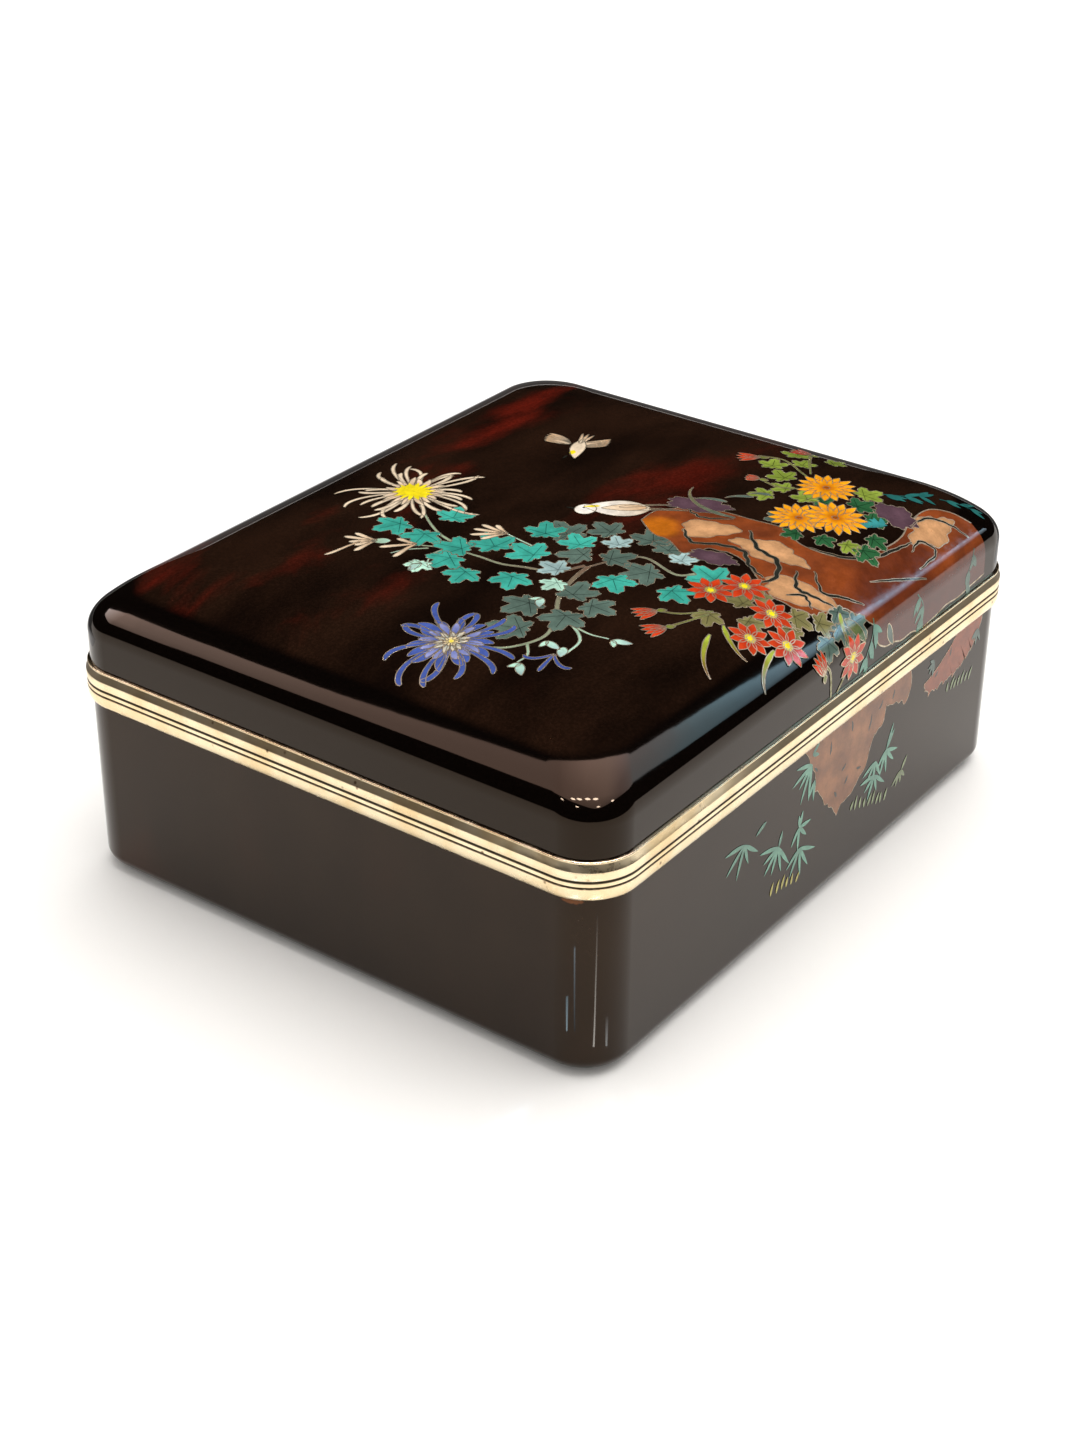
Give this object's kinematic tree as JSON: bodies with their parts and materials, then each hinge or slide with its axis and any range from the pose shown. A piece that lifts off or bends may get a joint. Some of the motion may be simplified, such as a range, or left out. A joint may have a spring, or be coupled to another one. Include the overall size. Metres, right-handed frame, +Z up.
{
  "type": "cloisonne enamel box",
  "caption": "Rectangular enamelled box with a lift-off pillow lid, gilt rims at the seam, and flowers, birds and rocks in wired enamel on a dark ground.",
  "frame": {"origin": "on the ground, under the middle of the closed box", "axes": "+X along the decorated front, to the right for someone facing it, +Y from the front to the back, +Z up"},
  "size_m": [0.2026, 0.1706, 0.0882],
  "materials": {
    "enamel": "glossy vitreous enamel on copper, very dark brown with a faint red goldstone mottle and a picture in wired coloured enamels",
    "gilt": "polished pale gilding with fine pits and small dark specks"
  },
  "bodies": {
    "root": {"base_body": "enamel", "base_rim": "gilt", "lid_rim": "gilt", "lid_shell": "enamel"}
  },
  "joints": []
}
